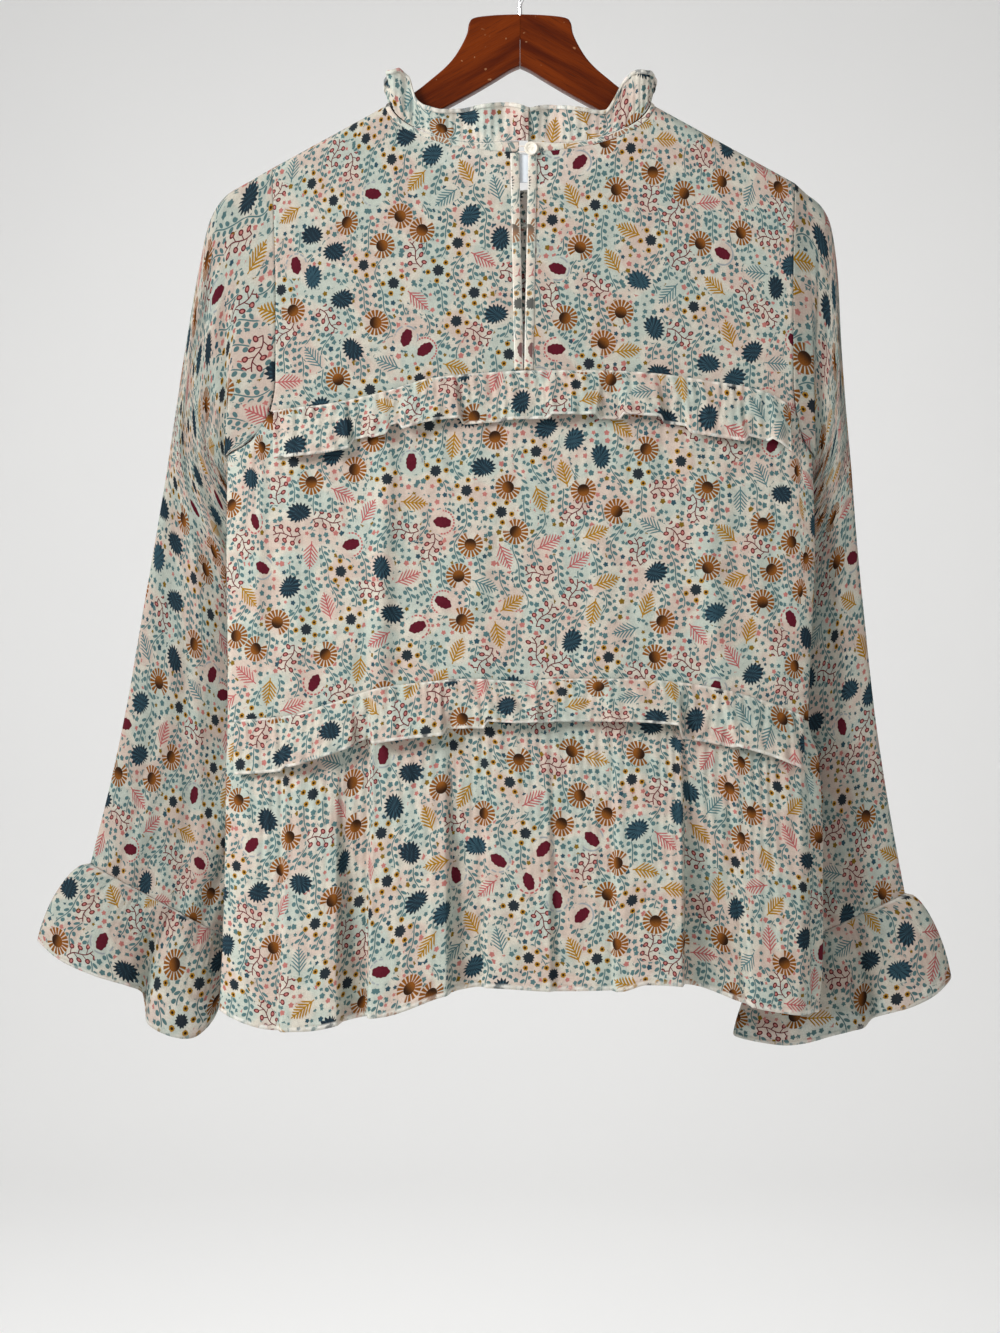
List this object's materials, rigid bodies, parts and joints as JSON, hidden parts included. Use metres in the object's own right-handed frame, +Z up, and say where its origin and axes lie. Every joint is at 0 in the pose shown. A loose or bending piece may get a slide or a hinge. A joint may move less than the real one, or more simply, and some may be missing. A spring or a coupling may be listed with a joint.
{
  "type": "blouse on a hanger",
  "caption": "Long-sleeved floral chiffon blouse with a frilled collar, slit, tiers and flounced cuffs, hanging on a wooden hanger",
  "frame": {"origin": "inside the top of the hook, where a rail carries it", "axes": "+Z up, -Y the buttoned back of the blouse, +Y its front, +X to the right seen from its back"},
  "size_m": [0.7059, 0.0915, 0.8534],
  "materials": {
    "print_cloth": "sheer crepe, printed",
    "trim_cloth": "plain crepe binding",
    "label_cloth": "satin tape",
    "button": "pearly",
    "hanger_wood": "glossy varnish",
    "hook_metal": "polished"
  },
  "bodies": {
    "root": {"back_yoke_left": "print_cloth", "back_yoke_right": "print_cloth", "back_middle": "print_cloth", "back_lower_tier": "print_cloth", "front": "print_cloth", "front_lower_tier": "print_cloth", "yoke_frill": "print_cloth", "waist_frill_back": "print_cloth", "waist_frill_front": "print_cloth", "collar": "print_cloth", "sleeve_left_back": "print_cloth", "sleeve_left_front": "print_cloth", "sleeve_right_back": "print_cloth", "sleeve_right_front": "print_cloth", "flounce_left": "print_cloth", "flounce_right": "print_cloth", "neck_band": "trim_cloth", "slit_binding_left": "trim_cloth", "slit_binding_right": "trim_cloth", "button_loop": "trim_cloth", "label": "label_cloth", "button": "button", "hanger_arm_left": "hanger_wood", "hanger_arm_right": "hanger_wood", "hook": "hook_metal"}
  },
  "joints": []
}
